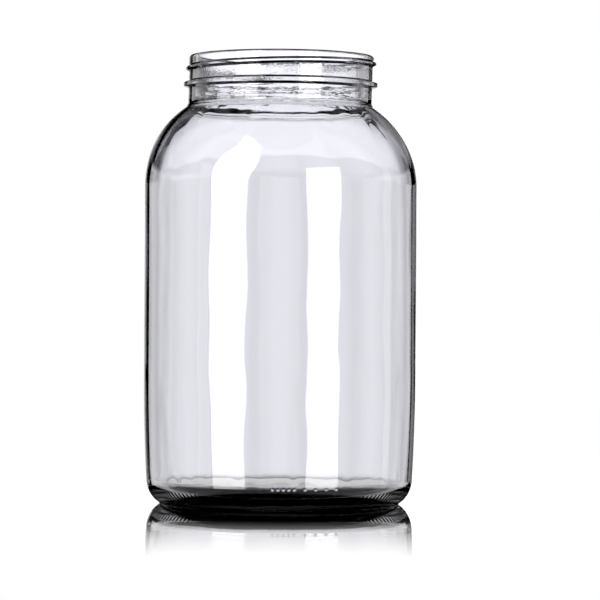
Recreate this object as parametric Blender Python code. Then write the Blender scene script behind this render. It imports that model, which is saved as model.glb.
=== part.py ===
"""A clear glass storage jar: one blown piece with a heavy base, a straight side, a round
shoulder and an open screw neck. It stands on z = 0 with its axis on the z axis, and its
front faces -y. All lengths are in metres.

The jar is a stack of rings, from the middle of the underside, out and up the outside, over
the rim, and down the inside to the middle of the floor. Each ring is skinned to the next.
"""

import math

import bmesh
import bpy

# Overall
HEIGHT = 0.2570
BODY_DIAMETER = 0.1562
WALL = 0.0032

# Base: the flat ring that it stands on, the hollow underside and the floor
FOOT_INSET = 0.0088
FOOT_EDGE_RADIUS = 0.0015
FOOT_WIDTH = 0.0040
PUSH_UP = 0.0060
BASE_THICKNESS = 0.0055
HEEL_THICKNESS = 0.0080

# Heel, and the long curve that draws the side in above it
HEEL_RADIUS = 0.0170
INNER_HEEL_RADIUS = 0.0120
DRAW_IN_RADIUS = 1.1000
DRAW_IN_HEIGHT = 0.0750

# Shoulder, and the turn from the shoulder into the neck
SHOULDER_RADIUS = 0.0550
NECK_FILLET = 0.0040
INNER_NECK_FILLET = 0.0070

# Neck, and the rim with its flat sealing land
NECK_DIAMETER = 0.1054
NECK_WALL = 0.0040
RIM_PROUD = 0.0004
RIM_OUTER_EDGE = 0.0014
RIM_INNER_EDGE = 0.0012

# Down the outside of the neck: a plain strip, the thread, a plain strip, the bead that a
# lid's skirt stops above, and a plain strip down to the shoulder
RIM_TO_THREAD = 0.0005
THREAD_HALF_WIDTH = 0.0017
THREAD_PROUD = 0.0020
THREAD_PITCH = 0.00508
THREAD_TO_BEAD = 0.0043
BEAD_HALF_WIDTH = 0.0022
BEAD_PROUD = 0.0030
BEAD_TO_SHOULDER = 0.0076

# Counts and shares
SEGMENTS = 64
RIDGE_STEPS = 6
DOME_STEPS = 6
DOME_POWER = 4
THREAD_FADE_SHARE = 0.08

# Glass
GLASS_COLOUR = (0.93, 0.93, 0.95, 1.0)
GLASS_ROUGHNESS = 0.02
GLASS_IOR = 1.52

BODY_RADIUS = BODY_DIAMETER / 2
NECK_RADIUS = NECK_DIAMETER / 2
BORE_RADIUS = NECK_RADIUS - NECK_WALL
THREAD_TOP = HEIGHT - RIM_OUTER_EDGE - RIM_TO_THREAD - THREAD_HALF_WIDTH
THREAD_BOTTOM = THREAD_TOP - THREAD_PITCH
BEAD_MIDDLE = THREAD_BOTTOM - THREAD_HALF_WIDTH - THREAD_TO_BEAD - BEAD_HALF_WIDTH
NECK_FOOT = BEAD_MIDDLE - BEAD_HALF_WIDTH - BEAD_TO_SHOULDER
BACK = math.pi / 2


def ring(radius, height):
    """One level ring, counterclockwise from the back of the jar."""
    turns = (BACK + math.tau * i / SEGMENTS for i in range(SEGMENTS))
    return [(radius * math.cos(t), radius * math.sin(t), height) for t in turns]


def arc(centre, radius, start, end, steps):
    """Rings on an arc of the outline, from one angle to another, in degrees from level."""
    rings = []
    for i in range(steps + 1):
        angle = math.radians(start + (end - start) * i / steps)
        rings.append(
            ring(centre[0] + radius * math.cos(angle), centre[1] + radius * math.sin(angle))
        )
    return rings


def slope_of(centre, point):
    """The angle, in degrees from level, at which a point lies from a centre."""
    return math.degrees(math.atan2(point[1] - centre[1], point[0] - centre[0]))


def leg(long_side, short_side):
    """The other short side of a right-angled triangle."""
    return math.sqrt(long_side**2 - short_side**2)


def touching_centre(centre, reach, height):
    """The point at this height, on the outer side, that lies at a reach from a centre."""
    return (centre[0] + leg(reach, height - centre[1]), height)


def crossing(first, first_reach, second, second_reach):
    """The upper one of the two points that lie at these reaches from two centres."""
    across, up = second[0] - first[0], second[1] - first[1]
    apart = math.hypot(across, up)
    along = (apart**2 + first_reach**2 - second_reach**2) / (2 * apart)
    off = leg(first_reach, along)
    return (
        first[0] + (along * across - off * up) / apart,
        first[1] + (along * up + off * across) / apart,
    )


def dome(edge_radius, edge_height, rise):
    """Rings from near the middle of a shallow dome out to its edge."""
    rings = []
    for i in range(1, DOME_STEPS + 1):
        share = math.sin(math.pi / 2 * i / DOME_STEPS)
        rings.append(
            ring(edge_radius * share, edge_height + rise * (1 - share**DOME_POWER))
        )
    return rings


def ridge_section(half_width, proud):
    """The section of a rounded ridge: (height from its middle, how far it stands out)."""
    section = []
    for i in range(RIDGE_STEPS + 1):
        across = 2 * i / RIDGE_STEPS - 1
        section.append((half_width * across, proud * math.cos(math.pi / 2 * across) ** 2))
    return section


def shoulder_centre():
    """The centre of the shoulder's arc, low enough for its turn to end at the neck's foot."""
    across = BODY_RADIUS - SHOULDER_RADIUS
    turn_across = NECK_RADIUS + NECK_FILLET - across
    return (across, NECK_FOOT - leg(SHOULDER_RADIUS + NECK_FILLET, turn_across))


DRAW_IN_CENTRE = (BODY_RADIUS - DRAW_IN_RADIUS, DRAW_IN_HEIGHT)
SHOULDER_CENTRE = shoulder_centre()


def foot_and_underside():
    """The hollow underside, the flat ring that the jar stands on, its outer edge, the heel
    and the drawn-in side, each arc meeting the next without a corner."""
    edge_centre = (BODY_RADIUS - FOOT_INSET - FOOT_EDGE_RADIUS, FOOT_EDGE_RADIUS)
    heel_centre = crossing(
        DRAW_IN_CENTRE,
        DRAW_IN_RADIUS - HEEL_RADIUS,
        edge_centre,
        HEEL_RADIUS - FOOT_EDGE_RADIUS,
    )
    meets_heel = slope_of(heel_centre, edge_centre)
    meets_side = slope_of(DRAW_IN_CENTRE, heel_centre)
    return (
        dome(edge_centre[0] - FOOT_WIDTH, 0, PUSH_UP)
        + arc(edge_centre, FOOT_EDGE_RADIUS, -90, meets_heel, 2)
        + arc(heel_centre, HEEL_RADIUS, meets_heel, meets_side, 6)[1:]
        + arc(DRAW_IN_CENTRE, DRAW_IN_RADIUS, meets_side, 0, 3)[1:]
    )


def shoulder_and_neck():
    """The round shoulder, and the hollow turn where it runs up into the neck."""
    turn_centre = (NECK_RADIUS + NECK_FILLET, NECK_FOOT)
    meets = slope_of(SHOULDER_CENTRE, turn_centre)
    return (
        arc(SHOULDER_CENTRE, SHOULDER_RADIUS, 0, meets, 10)
        + arc(turn_centre, NECK_FILLET, meets + 180, 180, 3)[1:]
    )


def bead():
    """The level ridge round the neck, below the thread."""
    return [
        ring(NECK_RADIUS + proud, BEAD_MIDDLE + rise)
        for rise, proud in ridge_section(BEAD_HALF_WIDTH, BEAD_PROUD)
    ]


def thread():
    """Rings that climb one pitch in a right-hand turn, from the back round to the back. The
    ridge fades out at both ends, so that the step down at the seam lies flat on the neck."""
    rings = []
    for rise, proud in ridge_section(THREAD_HALF_WIDTH, THREAD_PROUD):
        points = []
        for i in range(SEGMENTS):
            turned = i / (SEGMENTS - 1)
            angle = BACK + math.tau * i / SEGMENTS
            to_end = min(turned, 1 - turned) / THREAD_FADE_SHARE
            radius = NECK_RADIUS + proud * math.sin(math.pi / 2 * min(to_end, 1)) ** 2
            height = THREAD_BOTTOM + THREAD_PITCH * turned + rise
            points.append((radius * math.cos(angle), radius * math.sin(angle), height))
        rings.append(points)
    return rings


def rim():
    """The rounded lip with the flat land that a lid's liner seals on."""
    outer = (NECK_RADIUS + RIM_PROUD - RIM_OUTER_EDGE, HEIGHT - RIM_OUTER_EDGE)
    inner = (BORE_RADIUS + RIM_INNER_EDGE, HEIGHT - RIM_INNER_EDGE)
    return arc(outer, RIM_OUTER_EDGE, 0, 90, 4) + arc(inner, RIM_INNER_EDGE, 90, 180, 4)


def inside_of_shoulder():
    """The bore's lower end, rounded out into the inside of the shoulder."""
    radius = SHOULDER_RADIUS - WALL
    turn_radius = BORE_RADIUS + INNER_NECK_FILLET
    turn_height = SHOULDER_CENTRE[1] + leg(
        radius + INNER_NECK_FILLET, turn_radius - SHOULDER_CENTRE[0]
    )
    turn_centre = (turn_radius, turn_height)
    meets = slope_of(SHOULDER_CENTRE, turn_centre)
    return (
        arc(turn_centre, INNER_NECK_FILLET, 180, meets + 180, 4)
        + arc(SHOULDER_CENTRE, radius, meets, 0, 9)[1:]
    )


def inside_of_base():
    """The side's inside below the shoulder, the rounded inner heel, and the domed floor."""
    reach = DRAW_IN_RADIUS - WALL
    heel_centre = touching_centre(
        DRAW_IN_CENTRE, reach - INNER_HEEL_RADIUS, HEEL_THICKNESS + INNER_HEEL_RADIUS
    )
    meets = slope_of(DRAW_IN_CENTRE, heel_centre)
    rise = PUSH_UP + BASE_THICKNESS - HEEL_THICKNESS
    return (
        arc(DRAW_IN_CENTRE, reach, 0, meets, 3)
        + arc(heel_centre, INNER_HEEL_RADIUS, meets, -90, 6)[1:]
        + dome(heel_centre[0], HEEL_THICKNESS, rise)[-2::-1]
    )


def skin(rings, first_pole, last_pole):
    """A closed mesh: each ring joined to the next by quads, and a fan to each pole."""
    bm = bmesh.new()
    rows = [[bm.verts.new(point) for point in points] for points in rings]
    for below, above in zip(rows, rows[1:]):
        for i in range(SEGMENTS):
            j = (i + 1) % SEGMENTS
            bm.faces.new((below[i], below[j], above[j], above[i]))
    for row, pole in ((rows[0], first_pole), (rows[-1][::-1], last_pole)):
        middle = bm.verts.new(pole)
        for i in range(SEGMENTS):
            bm.faces.new((row[(i + 1) % SEGMENTS], row[i], middle))
    bmesh.ops.recalc_face_normals(bm, faces=bm.faces)
    mesh = bpy.data.meshes.new("glass_jar")
    bm.to_mesh(mesh)
    bm.free()
    mesh.shade_smooth()
    mesh.set_sharp_from_angle(angle=math.radians(40))
    return mesh


def clear_glass():
    """Colourless container glass with a faint cool grey in its thickness."""
    material = bpy.data.materials.new("clear_glass")
    material.use_nodes = True
    shader = material.node_tree.nodes["Principled BSDF"]
    shader.inputs["Base Color"].default_value = GLASS_COLOUR
    shader.inputs["Roughness"].default_value = GLASS_ROUGHNESS
    shader.inputs["Metallic"].default_value = 0
    shader.inputs["IOR"].default_value = GLASS_IOR
    shader.inputs["Transmission Weight"].default_value = 1
    return material


def glass_jar():
    """The whole jar, which is one piece of glass."""
    rings = (
        foot_and_underside()
        + shoulder_and_neck()
        + bead()
        + thread()
        + rim()
        + inside_of_shoulder()
        + inside_of_base()
    )
    mesh = skin(rings, (0, 0, PUSH_UP), (0, 0, PUSH_UP + BASE_THICKNESS))
    mesh.materials.append(clear_glass())
    jar = bpy.data.objects.new("glass_jar", mesh)
    bpy.context.scene.collection.objects.link(jar)
    return jar


for old in list(bpy.data.objects):
    bpy.data.objects.remove(old)
glass_jar()
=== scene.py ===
"""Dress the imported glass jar: its moulded surface, its glass, and the studio around it."""

import math

import bpy
import numpy as np
from bpy.props import FloatProperty, FloatVectorProperty, IntProperty, PointerProperty
from mathutils import Matrix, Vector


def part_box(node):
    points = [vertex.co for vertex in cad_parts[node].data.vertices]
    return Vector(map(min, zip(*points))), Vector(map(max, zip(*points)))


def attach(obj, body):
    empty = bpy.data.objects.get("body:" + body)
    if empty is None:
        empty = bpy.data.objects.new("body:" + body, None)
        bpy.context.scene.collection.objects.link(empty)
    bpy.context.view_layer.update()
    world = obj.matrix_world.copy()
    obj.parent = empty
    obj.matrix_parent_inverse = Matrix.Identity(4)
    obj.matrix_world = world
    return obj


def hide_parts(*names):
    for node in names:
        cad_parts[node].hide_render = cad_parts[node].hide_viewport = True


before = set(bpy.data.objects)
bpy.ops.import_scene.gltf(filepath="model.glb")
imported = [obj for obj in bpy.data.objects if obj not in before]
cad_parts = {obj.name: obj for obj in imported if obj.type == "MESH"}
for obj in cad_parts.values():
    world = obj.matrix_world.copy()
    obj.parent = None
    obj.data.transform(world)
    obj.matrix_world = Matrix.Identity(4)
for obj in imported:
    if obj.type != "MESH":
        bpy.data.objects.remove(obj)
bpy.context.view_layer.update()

bl_info = {
    "name": "Wide-mouth glass jar",
    "version": (1, 0, 0),
    "blender": (4, 5, 0),
    "location": "3D View > Sidebar > Glass jar",
    "description": "A one-piece moulded jar of clear glass, and a white studio for it",
    "category": "Add Mesh",
}

NODE = "glass_jar"
BODY = "root"
LOW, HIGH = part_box(NODE)
MM = 0.001
BACK = math.pi / 2
FRONT = -math.pi / 2

# What the columns of the profile's rows hold
RADIUS, HEIGHT, CLIMB, RIDGE, OUTER, INNER, RIB = range(7)

# How many rows of points each stretch of the profile has
ROWS = {
    "underside": 6,
    "hollow": 7,
    "foot edge": 4,
    "heel": 11,
    "dots": 8,
    "draw-in": 11,
    "side": 14,
    "shoulder": 20,
    "neck fillet": 18,
    "plain neck": 5,
    "ridge flank": 9,
    "between ridges": 3,
    "rim": 7,
    "inner rim": 6,
    "bore": 10,
    "inner fillet": 10,
    "inner shoulder": 15,
    "inner side": 13,
    "inner draw-in": 10,
    "inner heel": 10,
    "floor": 9,
}

# Shares of a quarter turn between which a dome's rows lie, and where the foot ring's rows lie
UNDERSIDE_SPAN = (0.06, 0.55)
HOLLOW_SPAN = (0.62, 0.97)
FLOOR_SPAN = (0.97, 0.06)
FOOT_PLACES = np.array([1.0, 0.75, 0.5, 0.25])

# How much of the ribs or waves a stretch takes, where that is neither all nor nothing
HOLLOW_RIB = 0.5
FILLET_WAVE = 0.6
NECK_WAVE = 0.4
BORE_WAVE = 0.3
FLOOR_WAVE = 0.5

# Small heights on the profile, and how far a ridge's outermost rows lie past its flank
DOT_ROWS_LOW = 11.4 * MM
DOT_ROWS_HIGH = 13.5 * MM
RIB_FULL = 1.0 * MM
RIB_FADE = 4.5 * MM
SEAM_DROP = 2.1 * MM
SEAM_HALF = 0.7 * MM
UNDER_RIM = 0.15 * MM
RIDGE_MARGIN = 0.05

# Sets of waves: their lengths, how many, the seed of their draw, and how stretched upwards
WALL_WAVES = {"longest": 75 * MM, "shortest": 26 * MM, "count": 14, "seed": 5, "stretch": 1.4}
INSIDE_WAVES = {"longest": 60 * MM, "shortest": 26 * MM, "count": 12, "seed": 11, "stretch": 1.5}
NECK_WAVES = {"longest": 34 * MM, "shortest": 12 * MM, "count": 16, "seed": 21, "stretch": 0.25}
RAGGED_WAVES = {"longest": 40 * MM, "shortest": 9 * MM, "count": 10, "seed": 31}
WAVE_SCALE = 1.2

# Where the waves act: heights between which each starts, eases or swells, and by what share
WAVE_ONSET = (16 * MM, 50 * MM)
SHOULDER_CALM = (0.19, 0.225)
SHOULDER_CALM_SHARE = 0.6
FLANK_CALM_SHARE = 0.75
FLANK_CALM_POWER = 6
RIPPLE_BELOW = 16 * MM
RIPPLE_ABOVE = 10 * MM
RIPPLE_ONSET = 30 * MM
INNER_RIPPLE = 2
SETTLE_BELT = (12 * MM, 19 * MM)
SETTLE_RAGGED = 1.2 * MM
LEAN_BELT = (0.185, 0.262)

# The row of dots: how far its surface lies inside the side, and the gaps in pitches
DOT_INSET = 2 * MM
DOT_GAPS = np.array([0, 1, 1, 1, 1, 2, 2, 2, 2])


def length(name, description, default):
    """A size in metres that the sidebar shows as a length."""
    return FloatProperty(
        name=name, description=description, default=default, unit="LENGTH", precision=5
    )


def number(name, description, default):
    """A plain number that the sidebar shows."""
    return FloatProperty(name=name, description=description, default=default, precision=4)


class JarSizes(bpy.types.PropertyGroup):
    """Sizes of the moulding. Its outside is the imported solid's, and its floor is thinner."""

    height: length("Height", "From the table to the rim", HIGH[2] - LOW[2])
    body_radius: length("Body radius", "Half the width of the side", (HIGH[0] - LOW[0]) / 2)
    wall: length("Wall", "Thickness of the side", 3.2 * MM)
    foot_inset: length("Foot inset", "How far the foot's edge lies inside the side", 8.8 * MM)
    foot_edge: length("Foot edge", "Radius of the foot's outer edge", 1.5 * MM)
    foot_width: length("Foot width", "Width of the ring that the jar stands on", 4.0 * MM)
    push_up: length("Push-up", "Height of the hollow under the base", 6.0 * MM)
    base: length("Base", "Thickness of the base at its middle", 3.0 * MM)
    heel_floor: length("Heel floor", "Height of the inside floor beside the heel", 5.0 * MM)
    heel: length("Heel radius", "Radius of the outer heel", 17.0 * MM)
    inner_heel: length("Inner heel radius", "Radius of the inner heel", 10.0 * MM)
    draw_in: length("Draw-in radius", "Radius of the side's slow curve to the heel", 1.1)
    draw_in_height: length("Draw-in height", "Where the side starts to draw in", 75.0 * MM)
    shoulder: length("Shoulder radius", "Radius of the outer shoulder", 55.0 * MM)
    neck_fillet: length("Neck fillet", "Radius where the shoulder meets the neck", 4.0 * MM)
    inner_fillet: length("Inner fillet", "Radius where the bore opens into the jar", 10.0 * MM)
    neck_radius: length("Neck radius", "Radius of the plain neck", 52.7 * MM)
    neck_wall: length("Neck wall", "Thickness of the neck", 4.0 * MM)
    rim_proud: length("Rim proud", "How far the rim stands out past the neck", 0.4 * MM)
    rim_outer: length("Rim outer edge", "Radius of the rim's outer edge", 1.4 * MM)
    rim_inner: length("Rim inner edge", "Radius of the rim's inner edge", 1.2 * MM)
    rim_to_thread: length("Rim to thread", "From the rim's edge to the thread", 0.5 * MM)
    thread_half: length("Thread half width", "Half the width of the thread's ridge", 1.7 * MM)
    thread_proud: length("Thread proud", "How far the thread stands out", 2.0 * MM)
    pitch: length("Thread pitch", "Rise of the thread in one turn", 5.08 * MM)
    thread_to_bead: length("Thread to bead", "From the thread to the bead", 4.3 * MM)
    bead_half: length("Bead half width", "Half the width of the bead", 2.2 * MM)
    bead_proud: length("Bead proud", "How far the bead stands out", 3.0 * MM)
    bead_to_shoulder: length("Bead to shoulder", "From the bead to the fillet", 7.6 * MM)
    thread_fade: number("Thread fade", "Share of the turn in which each thread end fades", 0.11)
    thread_crest: number("Thread crest", "Share of the thread's half width that is flat", 0.30)
    thread_reach: number("Thread reach", "Share of the thread's half width at its foot", 1.12)
    bead_crest: number("Bead crest", "Share of the bead's half width that is flat", 0.50)
    bead_reach: number("Bead reach", "Share of the bead's half width at its foot", 1.08)
    seam: length("Seam", "Height of the mould's parting line on the neck's fillet", 0.2 * MM)


class JarSurface(bpy.types.PropertyGroup):
    """How far the real glass departs from the drawing."""

    outer_wave: length("Outer wave", "Depth of the slow waves that both faces follow", 0.30 * MM)
    inner_wave: length("Inner wave", "Height of the slow waves in the inner face alone", 0.02 * MM)
    lean: length("Shoulder lean", "How much fuller the left shoulder is", 0.9 * MM)
    neck_ripple: length("Neck ripple", "Height of the ripples at the neck's foot", 0.015 * MM)
    settle: length("Settle wave", "Height of the wave low on the inner wall", 0.10 * MM)
    rib_count: IntProperty(name="Ribs", description="Ribs around the foot", default=139)
    rib: length("Rib depth", "Depth of the grooves between the foot's ribs", 0.35 * MM)
    dot: length("Dot height", "Height of the dots on the heel", 0.45 * MM)
    dot_radius: length("Dot radius", "Radius of a dot on the heel", 1.0 * MM)
    dot_level: length("Dot level", "Height of the row of dots above the table", 12.6 * MM)
    dot_pitch: length("Dot pitch", "Distance between the dots that stand close", 3.0 * MM)
    columns: IntProperty(name="Columns", description="Mesh columns around the jar", default=356)
    crowding: number("Crowding", "How much the columns crowd to the front", 0.35)


class GlassLook(bpy.types.PropertyGroup):
    """Looks of the glass."""

    tint: FloatVectorProperty(
        name="Tint", description="Colour that passes through thick glass", subtype="COLOR",
        default=(0.25, 0.25, 0.30), min=0.0, max=1.0,
    )
    density: number("Density", "How fast thick glass darkens, per metre", 34.0)
    ior: number("IOR", "How much the glass bends light", 1.52)
    peel: length("Peel", "Height of the fine unevenness on the neck", 0.06 * MM)
    streak: length("Streak", "Height of the level streaks at the neck's foot", 0.05 * MM)
    pit: length("Pit", "Height of the fine pitting low on the side", 0.05 * MM)
    swirl: length("Swirl", "Height of the faint streaks in the wall", 0.02 * MM)
    scuff: number("Scuff", "Roughness of the worn foot", 0.10)


class StudioLook(bpy.types.PropertyGroup):
    """Looks of the floor, the surroundings and the camera."""

    focal: length("Focal length", "In millimetres on a sensor 36 mm wide", 178.15)
    distance: length("Camera distance", "From the lens to the jar's axis", 1.7074)
    across: length("Camera across", "How far the lens is right of the axis", 11.4 * MM)
    eye: length("Camera height", "Height of the lens above the table", 116.9 * MM)
    roll: number("Camera roll", "Turn about the line of sight, in radians", 0.0065)
    floor_white: number("Floor white", "How much light the floor sends back", 0.85)
    floor_glow: number("Floor glow", "Light that the floor gives besides", 0.25)
    floor_radius: length("Floor radius", "Where the floor has melted into the white", 0.60)
    # Painted shade: the oval under the jar that the glass shows black, and the patch round it that it
    # shows darker, stand in for the jar's shadow on the floor.
    shadow_oval_across: length("Shade across", "Half width of the floor that the glass shows black", 0.064)
    shadow_oval_along: length("Shade along", "Half depth of the floor that the glass shows black", 0.077)
    patch_radius: length("Patch radius", "Floor that the glass itself shows", 0.11)
    patch_shade: number("Patch shade", "How much darker the glass shows that floor", 0.15)
    mirror_near: length("Mirror near", "Radius to which the floor mirrors fully", 0.135)
    mirror_far: length("Mirror far", "Radius where the floor mirrors nothing", 0.41)
    softbox: number("Softbox", "Brightness of the softboxes in reflections", 7.0)


class Wire:
    """An output socket of a node tree. Arithmetic on wires adds Math nodes."""

    def __init__(self, tree, socket=None):
        self.tree = tree
        self.socket = socket

    def node(self, kind, settings=(), inputs=(), output=0):
        """Add a node, apply its settings, then fill its sockets with values or wires."""
        made = self.tree.nodes.new(kind)
        for name, value in dict(settings).items():
            setattr(made, name, value)
        for key, value in dict(inputs).items():
            if isinstance(value, Wire):
                self.tree.links.new(value.socket, made.inputs[key])
            else:
                made.inputs[key].default_value = value
        return Wire(self.tree, made.outputs[output] if made.outputs else None)

    def beside(self, name):
        """Another output of the same node."""
        return Wire(self.tree, self.socket.node.outputs[name])

    def math(self, operation, *others):
        """A Math node on this wire and the others."""
        inputs = dict(enumerate((self,) + others))
        return self.node("ShaderNodeMath", {"operation": operation}, inputs)

    def __add__(self, other):
        return self.math("ADD", other)

    __radd__ = __add__

    def __sub__(self, other):
        return self.math("SUBTRACT", other)

    def __rsub__(self, other):
        return self.node("ShaderNodeMath", {"operation": "SUBTRACT"}, {0: other, 1: self})

    def __mul__(self, other):
        return self.math("MULTIPLY", other)

    __rmul__ = __mul__

    def rising(self, low, high):
        """0 below low, 1 above high, and a smooth step between them."""
        return self.node(
            "ShaderNodeMapRange",
            {"interpolation_type": "SMOOTHSTEP"},
            {"Value": self, "From Min": low, "From Max": high},
        )

    def window(self, low, high, soft):
        """1 between low and high and 0 outside, with edges that are soft wide."""
        opened = self.rising(low - soft / 2, low + soft / 2)
        return opened * (1 - self.rising(high - soft / 2, high + soft / 2))

    def times(self, shares):
        """This vector with each coordinate times its share."""
        return self.node("ShaderNodeVectorMath", {"operation": "MULTIPLY"}, {0: self, 1: shares})

    def reach(self):
        """The length of this vector."""
        return self.node("ShaderNodeVectorMath", {"operation": "LENGTH"}, {0: self}, "Value")

    def noise(self, settings):
        """Noise at this place, with the scale and detail of the settings."""
        return self.node("ShaderNodeTexNoise", inputs={"Vector": self, **settings})


def leg(long_side, short_side):
    """The third side of a right triangle, from its long side and one short side."""
    return math.sqrt(long_side * long_side - short_side * short_side)


def slope(centre, point):
    """Angle of the line from centre to point, in radians from straight outwards."""
    return math.atan2(point[1] - centre[1], point[0] - centre[0])


def crossing(first, first_radius, second, second_radius):
    """The outer point where two circles cross, from their centres and radii."""
    across = second[0] - first[0]
    up = second[1] - first[1]
    apart = math.hypot(across, up)
    along = (apart ** 2 + first_radius ** 2 - second_radius ** 2) / (2 * apart)
    off = leg(first_radius, along)
    return (
        first[0] + (along * across - off * up) / apart,
        first[1] + (along * up + off * across) / apart,
    )


def course(radius, height, climb=0.0, ridge=0.0, outer=0.0, inner=0.0, rib=0.0):
    """Rows of the profile: radius, height, climb with the thread, ridge and three weights."""
    rows = np.broadcast_arrays(radius, height, climb, ridge, outer, inner, rib)
    return np.stack(rows, axis=-1).astype(float)


def arc(centre, radius, start, end, count, **weights):
    """Rows on a circle, from the start angle to the end angle."""
    angle = eased(start, end, count)
    across = centre[0] + radius * np.cos(angle)
    return course(across, centre[1] + radius * np.sin(angle), **weights)


def eased(low, high, count):
    """Values from low to high that crowd to both ends, where the profile's bend changes."""
    return low + (high - low) * (0.5 - 0.5 * np.cos(np.linspace(0, math.pi, count)))


def straight(radius, low, high, count, **weights):
    """Rows on an upright line, without its two ends."""
    return course(radius, eased(low, high, count + 2)[1:-1], **weights)


def dome(radius, level, rise, shares, **weights):
    """Rows of a flat dome: it rises by the rise times 1 minus the fourth power of the share."""
    return course(radius * shares, level + rise * (1 - shares ** 4), **weights)


class Outline:
    """Centres and levels that the jar's profile is drawn from, worked out from the sizes."""

    def __init__(self, size):
        self.size = size
        self.bore = size.neck_radius - size.neck_wall
        self.thread_top = size.height - size.rim_outer - size.rim_to_thread - size.thread_half
        self.thread_low = self.thread_top - size.pitch
        self.bead = self.thread_low - size.thread_half - size.thread_to_bead - size.bead_half
        self.neck_foot = self.bead - size.bead_half - size.bead_to_shoulder
        across = size.body_radius - size.shoulder
        fillet = size.neck_radius + size.neck_fillet
        drop = leg(size.shoulder + size.neck_fillet, fillet - across)
        self.shoulder = (across, self.neck_foot - drop)
        self.fillet = (fillet, self.neck_foot)
        self.draw = (size.body_radius - size.draw_in, size.draw_in_height)
        self.edge = (size.body_radius - size.foot_inset - size.foot_edge, size.foot_edge)
        reach = size.draw_in - size.heel
        self.heel = crossing(self.draw, reach, self.edge, size.heel - size.foot_edge)
        self.inner_shoulder = size.shoulder - size.wall
        turn = self.bore + size.inner_fillet
        lift = leg(self.inner_shoulder + size.inner_fillet, turn - across)
        self.inner_fillet = (turn, self.shoulder[1] + lift)
        self.inner_draw = size.draw_in - size.wall
        level = size.heel_floor + size.inner_heel
        side = leg(self.inner_draw - size.inner_heel, level - self.draw[1])
        self.inner_heel = (self.draw[0] + side, level)


def under_base(line):
    """Rows of the hollow underside, from its middle outwards, that need few columns."""
    size = line.size
    shares = np.sin(BACK * np.linspace(*UNDERSIDE_SPAN, ROWS["underside"]))
    return dome(line.edge[0] - size.foot_width, 0.0, size.push_up, shares)


def foot_and_heel(line):
    """Rows of the ribbed foot and the heel, that need many columns, and the angle they end at.

    The heel's rows lie at chosen heights. The angle of each is the arcsine of its height above
    the heel's centre over the heel's radius. The ribs fade upwards along a straight line.
    """
    size = line.size
    shares = np.sin(BACK * np.linspace(*HOLLOW_SPAN, ROWS["hollow"]))
    hollow = dome(line.edge[0] - size.foot_width, 0.0, size.push_up, shares, rib=HOLLOW_RIB)
    ring = course(line.edge[0] - size.foot_width * FOOT_PLACES, 0.0, rib=1.0)
    meet = slope(line.heel, line.edge)
    rounding = arc(line.edge, size.foot_edge, -BACK, meet, ROWS["foot edge"], rib=1.0)
    last = slope(line.draw, line.heel)
    levels = np.concatenate([
        np.linspace(line.edge[1], DOT_ROWS_LOW, ROWS["heel"])[1:],
        np.linspace(DOT_ROWS_LOW, DOT_ROWS_HIGH, ROWS["dots"])[1:],
    ])
    turns = np.arcsin(np.clip((levels - line.heel[1]) / size.heel, -1, 1))
    turns = np.append(turns[(turns > meet) & (turns < last)], last)
    low = course(line.heel[0] + size.heel * np.cos(turns), line.heel[1] + size.heel * np.sin(turns))
    low[:, RIB] = np.clip(1 - (low[:, HEIGHT] - RIB_FULL) / RIB_FADE, 0, 1)
    low[:, OUTER] = 1.0
    return np.concatenate([hollow, ring, rounding, low]), last


def ridge_profile(crest, reach):
    """Rows across a ridge, as shares of its half width, and how far each stands out.

    The ridge is flat to the crest's share and falls to nothing at the reach, half along a
    straight line and half along a squared sine.
    """
    flank = eased(reach, crest, ROWS["ridge flank"])
    flank = np.concatenate([[reach + RIDGE_MARGIN], flank, [crest - RIDGE_MARGIN]])
    share = np.concatenate([-flank, flank[::-1]])
    fall = np.clip((np.abs(share) - crest) / (reach - crest), 0, 1)
    return share, 1 - 0.5 * fall - 0.5 * step(fall, 0.0, 1.0)


def outer_wall(line, start):
    """Rows of the outer face from above the heel to the middle of the rim.

    Each stretch is an arc or an upright line that starts where the one before it ends. Between
    bead and thread the rows' climb grows evenly from 0 to 1.
    """
    size = line.size
    side = arc(line.draw, size.draw_in, start, 0.0, ROWS["draw-in"], outer=1.0)[1:]
    upright = straight(
        size.body_radius, line.draw[1], line.shoulder[1], ROWS["side"], outer=1.0
    )
    top = slope(line.shoulder, line.fillet)
    shoulder = arc(line.shoulder, size.shoulder, 0.0, top, ROWS["shoulder"], outer=1.0)
    count = ROWS["neck fillet"]
    turn = top + math.pi
    fillet = arc(line.fillet, size.neck_fillet, turn, math.pi, count, outer=FILLET_WAVE)[1:]
    parting = line.neck_foot - SEAM_DROP
    fillet[:, RIDGE] = size.seam * hump(fillet[:, HEIGHT], parting - SEAM_HALF, parting + SEAM_HALF)
    bead_foot = line.bead - size.bead_half
    count = ROWS["plain neck"]
    plain = straight(size.neck_radius, line.neck_foot, bead_foot, count, outer=NECK_WAVE)
    bead_top = line.bead + size.bead_half
    thread_foot = line.thread_low - size.thread_half
    share, swell = ridge_profile(size.bead_crest, size.bead_reach)
    bead = course(size.neck_radius, line.bead + size.bead_half * share, 0.0, size.bead_proud * swell)
    share, swell = ridge_profile(size.thread_crest, size.thread_reach)
    between = straight(size.neck_radius, bead_top, thread_foot, ROWS["between ridges"])
    between[:, CLIMB] = np.linspace(0, 1, len(between) + 2)[1:-1]
    crest = line.thread_low + size.thread_half * share
    land = size.rim_proud * (share > 0)
    thread = course(size.neck_radius + land, crest, 1.0, (size.thread_proud - land) * swell)
    corner = (size.neck_radius + size.rim_proud - size.rim_outer, size.height - size.rim_outer)
    rim = arc(corner, size.rim_outer, 0.0, BACK, ROWS["rim"])
    under_rim = course(size.neck_radius + size.rim_proud, np.array([corner[1] - UNDER_RIM]))
    rim = np.concatenate([under_rim, rim])
    return np.concatenate([side, upright, shoulder, fillet, plain, bead, between, thread, rim])


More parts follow.
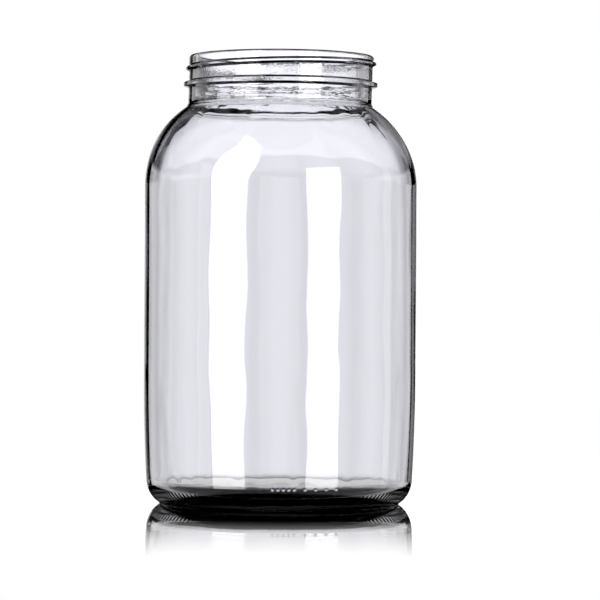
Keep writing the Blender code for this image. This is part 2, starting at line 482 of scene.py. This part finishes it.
def inner_wall(line):
    """Rows of the bore and the inside, down to the floor's middle.

    Each stretch is an arc, an upright line or a dome that starts where the one before it ends.
    """
    size = line.size
    corner = (line.bore + size.rim_inner, size.height - size.rim_inner)
    rim = arc(corner, size.rim_inner, BACK, math.pi, ROWS["inner rim"])
    bore = straight(line.bore, corner[1], line.inner_fillet[1], ROWS["bore"])
    meet = slope(line.shoulder, line.inner_fillet)
    turn = meet + math.pi
    count = ROWS["inner fillet"]
    fillet = arc(line.inner_fillet, size.inner_fillet, math.pi, turn, count, inner=BORE_WAVE)
    count = ROWS["inner shoulder"]
    shoulder = arc(line.shoulder, line.inner_shoulder, meet, 0.0, count, inner=1.0)[1:]
    side = size.body_radius - size.wall
    upright = straight(side, line.shoulder[1], line.draw[1], ROWS["inner side"], inner=1.0)
    heel_top = slope(line.draw, line.inner_heel)
    drawn = arc(line.draw, line.inner_draw, 0.0, heel_top, ROWS["inner draw-in"], inner=1.0)
    count = ROWS["inner heel"]
    heel = arc(line.inner_heel, size.inner_heel, heel_top, -BACK, count, inner=1.0)[1:]
    shares = np.sin(BACK * np.linspace(*FLOOR_SPAN, ROWS["floor"]))
    rise = size.push_up + size.base - size.heel_floor
    floor = dome(line.inner_heel[0], size.heel_floor, rise, shares, inner=FLOOR_WAVE)
    return np.concatenate([rim, bore, fillet, shoulder, upright, drawn, heel, floor])


def uneven(angle, height, longest, shortest, count, seed, stretch=1.0):
    """Slow waves over the unrolled wall, mostly within -1 and 1.

    A sum of sines, each with a whole number of crests around so that it closes on itself, and
    with a wave length between the shortest and the longest, stretch times longer upwards.
    """
    chance = np.random.default_rng(seed)
    heading = chance.uniform(0, math.pi, count)
    waves = math.tau / np.geomspace(longest, shortest, count)
    around = np.round(waves * np.cos(heading) * (HIGH[0] - LOW[0]) / 2)
    upward = waves * np.sin(heading) / stretch
    phase = chance.uniform(0, math.tau, count)
    total = 0.0
    for crests, rise, start in zip(around, upward, phase):
        total = total + np.sin(crests * angle + rise * height + start)
    return total * WAVE_SCALE / math.sqrt(count)


def hump(value, low, high):
    """A smooth hump over a stretch of heights: the squared sine from low to high, else 0."""
    share = np.clip((value - low) / (high - low), 0, 1)
    return np.sin(math.pi * share) ** 2


def step(value, low, high):
    """0 below low, 1 above high, and a squared sine between them."""
    return np.sin(BACK * np.clip((value - low) / (high - low), 0, 1)) ** 2


def heel_dots(angle, height, sizes, surface):
    """Low round dots in a row across the front of the heel, as a height from 0 to 1.

    Five stand one pitch apart and four more two pitches apart, each a squared cosine of the
    distance from its middle, measured over the unrolled heel.
    """
    radius = sizes.body_radius - DOT_INSET
    gaps = surface.dot_pitch * DOT_GAPS
    places = FRONT + (np.cumsum(gaps) - surface.dot_pitch) / radius
    total = 0.0
    for place in places:
        across = np.angle(np.exp(1j * (angle - place))) * radius
        apart = np.hypot(across, height - surface.dot_level) / surface.dot_radius
        total = total + np.cos(BACK * np.clip(apart, 0, 1)) ** 2
    return total


def jar_surface(rows, angle, turn, sizes, surface, line):
    """Places of one band of the mesh, from its rows, its columns' angles and their share of a turn.

    Each row climbs with the thread by its own share and stands out by its ridge. Then the waves,
    ripples, ribs and dots move each point along the profile's normal.
    """
    radius, height, climb, ridge, outer, inner, rib = np.split(rows, RIB + 1, axis=1)
    along = np.gradient(radius[:, 0])
    up = np.gradient(height[:, 0])
    size = np.hypot(along, up)
    out_across = (up / size)[:, None]
    out_up = (-along / size)[:, None]
    angle = angle[None, :]
    fade = step(np.minimum(turn, 1 - turn)[None, :], 0.0, sizes.thread_fade)
    flat = height + 0 * angle
    proud = ridge * np.where(climb == 1.0, fade, 1.0)
    wave = uneven(angle, flat, **WALL_WAVES)
    body = step(flat, *WAVE_ONSET) * (1 - SHOULDER_CALM_SHARE * step(flat, *SHOULDER_CALM))
    front_and_back = 1 - FLANK_CALM_SHARE * np.cos(angle) ** FLANK_CALM_POWER
    both = (outer - inner) * body * front_and_back
    depth = -surface.outer_wave * (0.5 + 0.5 * np.clip(wave, -1, 1)) * both
    inside_wave = uneven(angle, flat, **INSIDE_WAVES)
    depth = depth + surface.inner_wave * inside_wave * inner * body
    foot = line.neck_foot
    ripple = uneven(angle, flat, **NECK_WAVES)
    belt = hump(flat, foot - RIPPLE_BELOW, foot + RIPPLE_ABOVE) * (outer + INNER_RIPPLE * inner)
    belt = belt * step(flat, foot - RIPPLE_ONSET, foot)
    depth = depth + surface.neck_ripple * 0.5 * (ripple - 1) * belt
    ragged = flat + SETTLE_RAGGED * uneven(angle, flat, **RAGGED_WAVES)
    depth = depth + surface.settle * hump(ragged, *SETTLE_BELT) * inner
    depth = depth + surface.dot * heel_dots(angle, flat, sizes, surface) * (outer > 0)
    groove = 0.5 - 0.5 * np.cos(surface.rib_count * angle)
    depth = depth - surface.rib * groove * rib
    lean = surface.lean * -np.cos(angle) * hump(flat, *LEAN_BELT)
    across = radius + proud + out_across * depth + lean
    top = height + climb * sizes.pitch * turn[None, :] + out_up * depth
    return np.stack([across * np.cos(angle), across * np.sin(angle), top + 0 * angle], axis=-1)


def columns(surface, count):
    """Angles of the columns, from the back round to the back, crowded to the front.

    The angle grows with the share of the turn, plus the crowding times the sine of that turn.
    """
    share = np.arange(count) / count
    return BACK + math.tau * share + surface.crowding * np.sin(math.tau * share)


def band_faces(rows, count, first):
    """Quads between neighbouring rows of a band whose points start at first."""
    row = first + count * np.arange(rows - 1)[:, None]
    here = np.arange(count)[None, :]
    after = (here + 1) % count
    quads = [row + here, row + after, row + count + after, row + count + here]
    return np.stack(quads, axis=-1).reshape(-1, 4)


def fan_faces(row, count, pole, upward):
    """Triangles from a row of points to one pole."""
    here = np.arange(count)
    after = (here + 1) % count
    pair = (row + here, row + after) if upward else (row + after, row + here)
    return np.stack([*pair, np.full(count, pole)], axis=-1)


def join_faces(coarse, fine, count, widening):
    """Triangles between a row of count points and a row of twice as many."""
    here = np.arange(count)
    after = (here + 1) % count
    left = fine + 2 * here
    middle = left + 1
    right = fine + (2 * here + 2) % (2 * count)
    here = here + coarse
    after = after + coarse
    fans = [(here, middle, left), (here, after, middle), (after, right, middle)]
    faces = np.concatenate([np.stack(fan, axis=-1) for fan in fans])
    return faces if widening else faces[:, ::-1]


def jar_mesh(sizes, surface):
    """The jar's closed surface: a plain band, a fine band round the foot and a plain band.

    The profile runs from the middle of the underside out, up the outer face, over the rim and
    down the inside to the floor's middle. The fine band has twice the columns of the others.
    """
    line = Outline(sizes)
    fine_rows, heel_top = foot_and_heel(line)
    wall = np.concatenate([outer_wall(line, heel_top), inner_wall(line)])
    bands = [(under_base(line), 1), (fine_rows, 2), (wall, 1)]
    points = []
    faces = []
    first = 0
    starts = []
    for rows, times in bands:
        count = surface.columns * times
        angle = columns(surface, count)
        turn = np.arange(count) / (count - 1)
        points.append(jar_surface(rows, angle, turn, sizes, surface, line).reshape(-1, 3))
        faces.append(band_faces(len(rows), count, first))
        starts.append((first, first + count * (len(rows) - 1)))
        first += count * len(rows)
    count = surface.columns
    joins = [
        join_faces(starts[0][1], starts[1][0], count, True),
        join_faces(starts[2][0], starts[1][1], count, False),
    ]
    poles = np.array([[0, 0, sizes.push_up], [0, 0, sizes.push_up + sizes.base]])
    points.append(poles)
    joins.append(fan_faces(starts[0][0], count, first, False))
    joins.append(fan_faces(starts[2][1], count, first + 1, True))
    quads = np.concatenate(faces)
    triangles = np.concatenate(joins)
    return fill_mesh("glass_jar_moulding", np.concatenate(points), quads, triangles)


def fill_mesh(name, points, quads, triangles):
    """A smooth mesh from arrays of points, quads and triangles."""
    mesh = bpy.data.meshes.new(name)
    corners = np.concatenate([quads.ravel(), triangles.ravel()]).astype(np.int32)
    starts = np.concatenate([
        4 * np.arange(len(quads)), 4 * len(quads) + 3 * np.arange(len(triangles))
    ]).astype(np.int32)
    mesh.vertices.add(len(points))
    mesh.vertices.foreach_set("co", points.astype(np.float32).ravel())
    mesh.loops.add(len(corners))
    mesh.loops.foreach_set("vertex_index", corners)
    mesh.polygons.add(len(starts))
    mesh.polygons.foreach_set("loop_start", starts)
    mesh.update(calc_edges=True)
    if mesh.validate():
        raise RuntimeError(name + " has faces that don't close")
    mesh.shade_smooth()
    return mesh


def solid_volume(mesh):
    """Volume inside a closed mesh: the sum of each triangle's tetrahedron with the origin."""
    mesh.calc_loop_triangles()
    corners = np.empty(3 * len(mesh.loop_triangles), dtype=np.int32)
    mesh.loop_triangles.foreach_get("vertices", corners)
    points = np.empty(3 * len(mesh.vertices), dtype=np.float32)
    mesh.vertices.foreach_get("co", points)
    first, second, third = points.reshape(-1, 3)[corners.reshape(-1, 3)].transpose(1, 0, 2)
    return float(np.einsum("ij,ij->", first.astype(float), np.cross(second, third)) / 6)


def place_object(name, mesh):
    """A new object at the origin that shows a mesh."""
    made = bpy.data.objects.new(name, mesh)
    bpy.context.scene.collection.objects.link(made)
    return made


WHITE = (1.0, 1.0, 1.0, 1.0)

# Noise in the glass, with its scale per metre, and how its pattern is squeezed along each axis
SWIRL_NOISE = {"Scale": 90.0, "Detail": 1.0}
SWIRL_SQUEEZE = (1.0, 1.0, 0.35)
PEEL_NOISE = {"Scale": 800.0, "Detail": 1.5}
STREAK_NOISE = {"Scale": 160.0, "Detail": 2.0}
STREAK_SQUEEZE = (1.0, 1.0, 3.5)
PIT_NOISE = {"Scale": 350.0, "Detail": 2.0}
WORN_NOISE = {"Scale": 400.0, "Detail": 3.0}

# Where the noise acts: heights, the depth behind the jar's middle, and the noise that is worn
PEEL_SOFT = 3 * MM
STREAK_BELOW = 5 * MM
STREAK_SOFT = 4 * MM
PIT_BELT = (8 * MM, 16 * MM, 2 * MM)
PIT_DEPTH = (-20 * MM, 20 * MM)
WORN_HEIGHT = 1.2 * MM
WORN_GRAIN = (0.4, 0.65)


def glass_material(look, line):
    """Clear glass with faint streaks in the wall, an uneven neck and a scuffed foot.

    The relief is a sum of noises, each times the belt of heights that it lies in: the peel
    between bead and thread, level streaks at the neck's foot, and pitting low at the back.
    """
    material = bpy.data.materials.new("clear_glass")
    material.use_nodes = True
    tree = material.node_tree
    tree.nodes.clear()
    canvas = Wire(tree)
    place = canvas.node("ShaderNodeTexCoord", output="Object")
    height = canvas.node("ShaderNodeSeparateXYZ", inputs={0: place}, output="Z")
    depth = height.beside("Y")
    swirl = place.times(SWIRL_SQUEEZE).noise(SWIRL_NOISE)
    peel = place.noise(PEEL_NOISE) * height.window(line.bead, line.thread_low, PEEL_SOFT)
    neck = height.window(line.neck_foot - STREAK_BELOW, line.bead, STREAK_SOFT)
    streaks = place.times(STREAK_SQUEEZE).noise(STREAK_NOISE) * neck
    pits = place.noise(PIT_NOISE) * (height.window(*PIT_BELT) * depth.rising(*PIT_DEPTH))
    relief = swirl * look.swirl + peel * look.peel + streaks * look.streak + pits * look.pit
    bump = canvas.node("ShaderNodeBump", inputs={"Height": relief, "Distance": 1.0, "Strength": 1.0})
    worn = (1 - height.rising(0.0, WORN_HEIGHT)) * place.noise(WORN_NOISE).rising(*WORN_GRAIN)
    surface = canvas.node(
        "ShaderNodeBsdfPrincipled",
        inputs={
            "Base Color": WHITE,
            "Roughness": worn * look.scuff,
            "IOR": look.ior,
            "Transmission Weight": 1.0,
            "Normal": bump,
        },
    )
    inside = canvas.node(
        "ShaderNodeVolumeAbsorption", inputs={"Color": (*look.tint, 1.0), "Density": look.density}
    )
    canvas.node("ShaderNodeOutputMaterial", inputs={"Surface": surface, "Volume": inside})
    return material


def floor_mesh(radius):
    """A flat disc: rings of points at growing radii, closed by a middle point."""
    rings = 12
    count = 96
    angle = math.tau * np.arange(count) / count
    across = radius * np.linspace(1 / rings, 1, rings)[:, None]
    points = np.stack([across * np.cos(angle), across * np.sin(angle), 0 * across + 0 * angle], axis=-1)
    points = np.concatenate([points.reshape(-1, 3), np.zeros((1, 3))])
    fan = fan_faces(0, count, rings * count, True)
    return fill_mesh("floor", points, band_faces(rings, count, 0)[:, ::-1], fan)


# Edges on the floor, as shares of the radius that each belongs to, the first that of the painted shadow
# oval, and the board's gloss
SHADOW_OVAL_EDGE = (1.0, 1.05)
PATCH_EDGE = 1.1
MELT_EDGE = 1.08
FLOOR_EDGE = (0.7, 0.95)
GLOSS_IOR = 2.4
GLOSS_SHARE = (0.35, 0.6)


def floor_material(look):
    """White board with a gloss that fades away from the jar, melting into the white around.

    Rays that come through the glass see it painted black in an oval under the jar, a painted
    shade in place of the jar's shadow, and a little darker, also painted shade, in a patch around
    that; past the patch they don't see it at all. Mirrored rays see the patch painted black, as
    painted shade, and nothing past it.
    """
    material = bpy.data.materials.new("white_board")
    material.use_nodes = True
    tree = material.node_tree
    tree.nodes.clear()
    canvas = Wire(tree)
    place = canvas.node("ShaderNodeTexCoord", output="Object")
    away = place.reach()
    seen = canvas.node("ShaderNodeLightPath", output="Is Camera Ray")
    mirrored = seen.beside("Is Glossy Ray")
    bent = seen.beside("Is Transmission Ray")
    # Painted shade: black for bent rays in the oval under the jar, dimmed in the patch round it, and
    # black for mirrored rays in the patch, in place of the jar's shadow.
    oval = place.times((1 / look.shadow_oval_across, 1 / look.shadow_oval_along, 1.0)).reach()
    painted_shadow_oval = 1 - oval.rising(*SHADOW_OVAL_EDGE)
    patch = 1 - away.rising(look.patch_radius, PATCH_EDGE * look.patch_radius)
    bent_painted_shade = painted_shadow_oval.math("MAXIMUM", patch * look.patch_shade)
    painted_shade = bent * bent_painted_shade + mirrored * (1 - bent) * patch
    shade = (1 - painted_shade) * look.floor_white
    grey = canvas.node("ShaderNodeCombineXYZ", inputs={0: shade, 1: shade, 2: shade})
    board = canvas.node("ShaderNodeBsdfDiffuse", inputs={"Color": grey})
    glow = canvas.node("ShaderNodeEmission", inputs={"Strength": (1 - painted_shade) * look.floor_glow})
    plain = canvas.node("ShaderNodeAddShader", inputs={0: board, 1: glow})
    mirror = canvas.node("ShaderNodeBsdfGlossy", inputs={"Roughness": 0.0, "Color": WHITE})
    fresnel = canvas.node("ShaderNodeFresnel", inputs={"IOR": GLOSS_IOR})
    fading = 1 - away.rising(look.mirror_near, look.mirror_far)
    share = fresnel.rising(*GLOSS_SHARE) * fading * seen
    glossy = canvas.node("ShaderNodeMixShader", inputs={0: share, 1: plain, 2: mirror})
    nothing = canvas.node("ShaderNodeBsdfTransparent")
    low, high = FLOOR_EDGE
    rim = away.rising(low * look.floor_radius, high * look.floor_radius)
    past = away.rising(look.patch_radius, MELT_EDGE * look.patch_radius)
    melting = rim.math("MAXIMUM", past * mirrored.math("MAXIMUM", bent))
    surface = canvas.node("ShaderNodeMixShader", inputs={0: melting, 1: glossy, 2: nothing})
    canvas.node("ShaderNodeOutputMaterial", inputs={"Surface": surface})
    return material


# Directions in the studio, in degrees. Azimuth is 0 towards the camera, 90 to its right and 180
# behind the jar, and elevation counts up from level. Two numbers are the ends of a smooth step,
# and three are a window: low, high, and how wide its soft edges are.

# The panels, one every pitch: how each falls off from its middle, and the gaps and slits
FULL_TURN = 360.0
PANEL_PITCH = 45.0
PANEL_FALL = (5.0, 13.0)
PANEL_FALL_SHARE = 0.5
GAP_EDGE = (16.5, 19.0)
BACK_EDGE = (138.0, 142.0)
SLITS = ((-160.0, -151.0, 2.0), (146.5, 154.0, 2.0))

# Where the panels end above and below, and how much higher each end is behind the jar. Steep
# directions are pale again, so that the glass isn't black from above.
BEHIND_EDGE = (156.0, 160.0)
CEILING = (7.0, 10.0)
CEILING_RISE = 3.0
MIRRORED_LOW = (-36.0, -28.0)
MIRRORED_LOW_RISE = 22.0
BENT_LOW = (-95.0, -87.0)
BENT_LOW_RISE = 81.0
STEEP = (-60.0, -56.0)

# How bright the panels are to bent rays. Rays that mirrored nowhere on their way get a gain, and
# more at two steps above level.
TENT_LEVEL = 0.78
DIRECT_GAIN = 0.15
LEVEL_STEPS = (((2.6, 3.1), 0.15), ((3.65, 3.85), 0.20))
NEVER_MIRRORED = (0.4, 0.6)

# Dark patches behind the jar, and a dim pale one: each a window across and a window up
SIDE_DARKS = (((141.0, 167.0, 2.0), (2.9, 7.0, 0.3)), ((-169.0, -141.0, 2.0), (2.9, 7.0, 0.3)))
FLAGS = (
    ((-171.5, -168.0, 1.0), (7.0, 14.0, 1.0)),
    ((172.6, 173.45, 0.3), (7.5, 12.0, 0.6)),
    ((173.8, 176.5, 0.6), (11.8, 17.0, 1.0)),
    ((-178.5, -175.5, 0.5), (8.5, 13.0, 0.5)),
)
CORNERS = (((144.0, 169.0, 2.0), (9.0, 26.0, 3.0)),)
CORNER_LEVEL = 0.35

# What mirrored rays see of the panels: their level, the share of the gaps, and darker parts
OPEN_LEVEL = 1.3
OPEN_GAP_SHARE = 0.3
FLANKS = ((-161.0, -146.0, 1.5), (146.0, 172.5, 1.0))
FRINGE_EDGE = (172.0, 173.0)
FRINGE_DROP = 0.7

# The leaning softbox: its start, end and top, how far each moves, and over which stretch
LEAN_START = -58.5
LEAN_START_SHIFT = 15.0
LEAN_START_SPAN = (8.0, 55.0)
LEAN_END = -29.0
LEAN_END_SHIFT = 10.0
LEAN_END_SPAN = (0.0, 27.0)
LEAN_TOP = 54.0
LEAN_TOP_DROP = 11.0
LEAN_TOP_SPAN = (-38.0, -16.0)
BOX_SIDE_EDGE = (-0.4, 0.4)
BOX_TOP_EDGE = (-1.0, 1.0)

# The upright softboxes: window across, top edge, and share of the brightness
UPRIGHT_BOXES = (
    ((23.0, 52.0, 0.8), (19.0, 20.0), 1.0),
    ((-73.0, -60.0, 0.8), (19.0, 20.0), 0.18),
    ((99.0, 108.0, 2.0), (15.0, 17.0), 0.15),
)

# The colour of the panels through the glass, and the Mix node's sockets for colours
BENT_COLOUR = (0.98, 0.98, 1.05, 1.0)
MIX_FIRST, MIX_SECOND, MIX_RESULT = 6, 7, 2


def looking(canvas):
    """Azimuth and elevation, in degrees, of the direction that a ray leaves in."""
    direction = canvas.node("ShaderNodeTexCoord", output="Generated")
    east = canvas.node("ShaderNodeSeparateXYZ", inputs={0: direction}, output="X")
    azimuth = east.math("ARCTAN2", east.beside("Y") * -1.0) * math.degrees(1.0)
    elevation = east.beside("Z").math("ARCSINE") * math.degrees(1.0)
    return azimuth, elevation


def patches(azimuth, elevation, places):
    """The sum of patches of sky, each a window across times a window up."""
    return sum(azimuth.window(*across) * elevation.window(*up) for across, up in places)


def softboxes(azimuth, elevation):
    """Four softboxes as shares of their brightness, added up.

    The leaning one has sides that move across as they rise and a top that drops to the right.
    The others are upright, and go all the way down.
    """
    start = elevation.rising(*LEAN_START_SPAN) * LEAN_START_SHIFT + LEAN_START
    end = elevation.rising(*LEAN_END_SPAN) * LEAN_END_SHIFT + LEAN_END
    top = LEAN_TOP - azimuth.rising(*LEAN_TOP_SPAN) * LEAN_TOP_DROP
    boxes = (azimuth - start).rising(*BOX_SIDE_EDGE) * (1 - (azimuth - end).rising(*BOX_SIDE_EDGE))
    boxes = boxes * (1 - (elevation - top).rising(*BOX_TOP_EDGE))
    for across, edge, share in UPRIGHT_BOXES:
        boxes = boxes + azimuth.window(*across) * (1 - elevation.rising(*edge)) * share
    return boxes


def surroundings(look):
    """A studio seen by direction: pale panels with dark gaps and patches, and softboxes.

    The camera and plain surfaces see white at a strength of 1. What the glass bends sees the
    panels, which fall off from their middles, with dark slits and patches behind the jar and a
    dark that reaches up to just below level there. What mirrors sees the panels and the
    softboxes. The dark patches behind the jar are placed for the front view.
    """
    world = bpy.data.worlds.new("studio")
    world.use_nodes = True
    tree = world.node_tree
    tree.nodes.clear()
    canvas = Wire(tree)
    mirrored = canvas.node("ShaderNodeLightPath", output="Is Glossy Ray")
    bent = mirrored.beside("Is Transmission Ray")
    direct = 1 - mirrored.beside("Glossy Depth").rising(*NEVER_MIRRORED)
    azimuth, elevation = looking(canvas)
    around = azimuth.math("ABSOLUTE")
    half = PANEL_PITCH / 2
    offset = (azimuth + (FULL_TURN + half)).math("MODULO", PANEL_PITCH) - half
    offset = offset.math("ABSOLUTE")
    gap = offset.rising(*GAP_EDGE) * (1 - around.rising(*BACK_EDGE))
    slits = sum(azimuth.window(*slit) for slit in SLITS)
    panel = (1 - offset.rising(*PANEL_FALL) * PANEL_FALL_SHARE) * (1 - gap) * (1 - slits)
    behind = around.rising(*BEHIND_EDGE)
    ceiling = 1 - (elevation - behind * CEILING_RISE).rising(*CEILING)
    band = (elevation - behind * MIRRORED_LOW_RISE).rising(*MIRRORED_LOW) * ceiling
    steep = 1 - elevation.rising(*STEEP)
    sweep = (elevation - behind * BENT_LOW_RISE).rising(*BENT_LOW)
    sweep = sweep.math("MAXIMUM", steep) * ceiling
    steps = sum(elevation.rising(*ends) * gain for ends, gain in LEVEL_STEPS)
    level = TENT_LEVEL + direct * (steps + DIRECT_GAIN)
    sides = patches(azimuth, elevation, SIDE_DARKS)
    flags = patches(azimuth, elevation, FLAGS)
    corners = patches(azimuth, elevation, CORNERS) * CORNER_LEVEL
    tent = panel * sweep * level * (1 - sides) * (1 - flags) + corners
    flanks = sum(azimuth.window(*flank) for flank in FLANKS)
    fringe = behind * (1 - around.rising(*FRINGE_EDGE))
    open_panel = (1 - gap * OPEN_GAP_SHARE) * (1 - flanks) * (OPEN_LEVEL - fringe * FRINGE_DROP)
    reflected = open_panel * band + softboxes(azimuth, elevation) * look.softbox
    glossy = mirrored * (1 - bent)
    strength = bent * tent + glossy * reflected + (1 - bent) * (1 - glossy)
    colours = {"Factor": bent, MIX_FIRST: WHITE, MIX_SECOND: BENT_COLOUR}
    colour = canvas.node("ShaderNodeMix", {"data_type": "RGBA"}, colours, MIX_RESULT)
    sky = canvas.node("ShaderNodeBackground", inputs={"Color": colour, "Strength": strength})
    canvas.node("ShaderNodeOutputWorld", inputs={"Surface": sky})
    return world


SENSOR_WIDTH = 36.0


def place_camera(look):
    """A level camera that looks along +Y at the jar, rolled a little as in the photograph."""
    lens = bpy.data.cameras.new("camera")
    lens.sensor_width = SENSOR_WIDTH
    lens.lens = look.focal
    camera = bpy.data.objects.new("camera", lens)
    bpy.context.scene.collection.objects.link(camera)
    place = Matrix.Translation((look.across, -look.distance, look.eye))
    camera.matrix_world = place @ Matrix.Rotation(-look.roll, 4, "Y") @ Matrix.Rotation(BACK, 4, "X")
    bpy.context.scene.camera = camera


class MESH_OT_glass_jar(bpy.types.Operator):
    """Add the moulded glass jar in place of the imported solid"""

    bl_idname = "mesh.glass_jar"
    bl_label = "Glass jar"

    def execute(self, context):
        scene = context.scene
        mesh = jar_mesh(scene.jar_sizes, scene.jar_surface)
        if solid_volume(mesh) <= 0:
            raise RuntimeError("the jar's faces point inwards")
        jar = place_object("jar_of_clear_glass", mesh)
        mesh.materials.append(glass_material(scene.glass_look, Outline(scene.jar_sizes)))
        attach(jar, BODY)
        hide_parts(NODE)
        return {"FINISHED"}


class SCENE_OT_jar_studio(bpy.types.Operator):
    """Add the white floor, the surroundings and the camera"""

    bl_idname = "scene.jar_studio"
    bl_label = "White studio"

    def execute(self, context):
        look = context.scene.studio_look
        floor = place_object("floor", floor_mesh(look.floor_radius))
        floor.data.materials.append(floor_material(look))
        context.scene.world = surroundings(look)
        context.scene.view_settings.view_transform = "Standard"
        place_camera(look)
        return {"FINISHED"}


class VIEW3D_PT_glass_jar(bpy.types.Panel):
    """Sizes, looks and buttons of the jar"""

    bl_label = "Glass jar"
    bl_space_type = "VIEW_3D"
    bl_region_type = "UI"
    bl_category = "Glass jar"

    def draw(self, context):
        layout = self.layout
        layout.operator(MESH_OT_glass_jar.bl_idname)
        layout.operator(SCENE_OT_jar_studio.bl_idname)
        for group in GROUPS:
            owner = getattr(context.scene, group)
            box = layout.box()
            for name in owner.__annotations__:
                box.prop(owner, name)


GROUPS = {
    "jar_sizes": JarSizes,
    "jar_surface": JarSurface,
    "glass_look": GlassLook,
    "studio_look": StudioLook,
}
CLASSES = (*GROUPS.values(), MESH_OT_glass_jar, SCENE_OT_jar_studio, VIEW3D_PT_glass_jar)


def register():
    """Register every class and hang the groups on the scene."""
    for one in CLASSES:
        bpy.utils.register_class(one)
    for name, group in GROUPS.items():
        setattr(bpy.types.Scene, name, PointerProperty(type=group))


def unregister():
    """Undo register."""
    for name in GROUPS:
        delattr(bpy.types.Scene, name)
    for one in reversed(CLASSES):
        bpy.utils.unregister_class(one)


def plain(box):
    """A box's two corners as plain lists of numbers."""
    return [[float(value) for value in corner] for corner in box]


def main():
    """Make every piece and the stage."""
    register()
    bpy.ops.mesh.glass_jar()
    bpy.ops.scene.jar_studio()


if __name__ == "__main__":
    main()
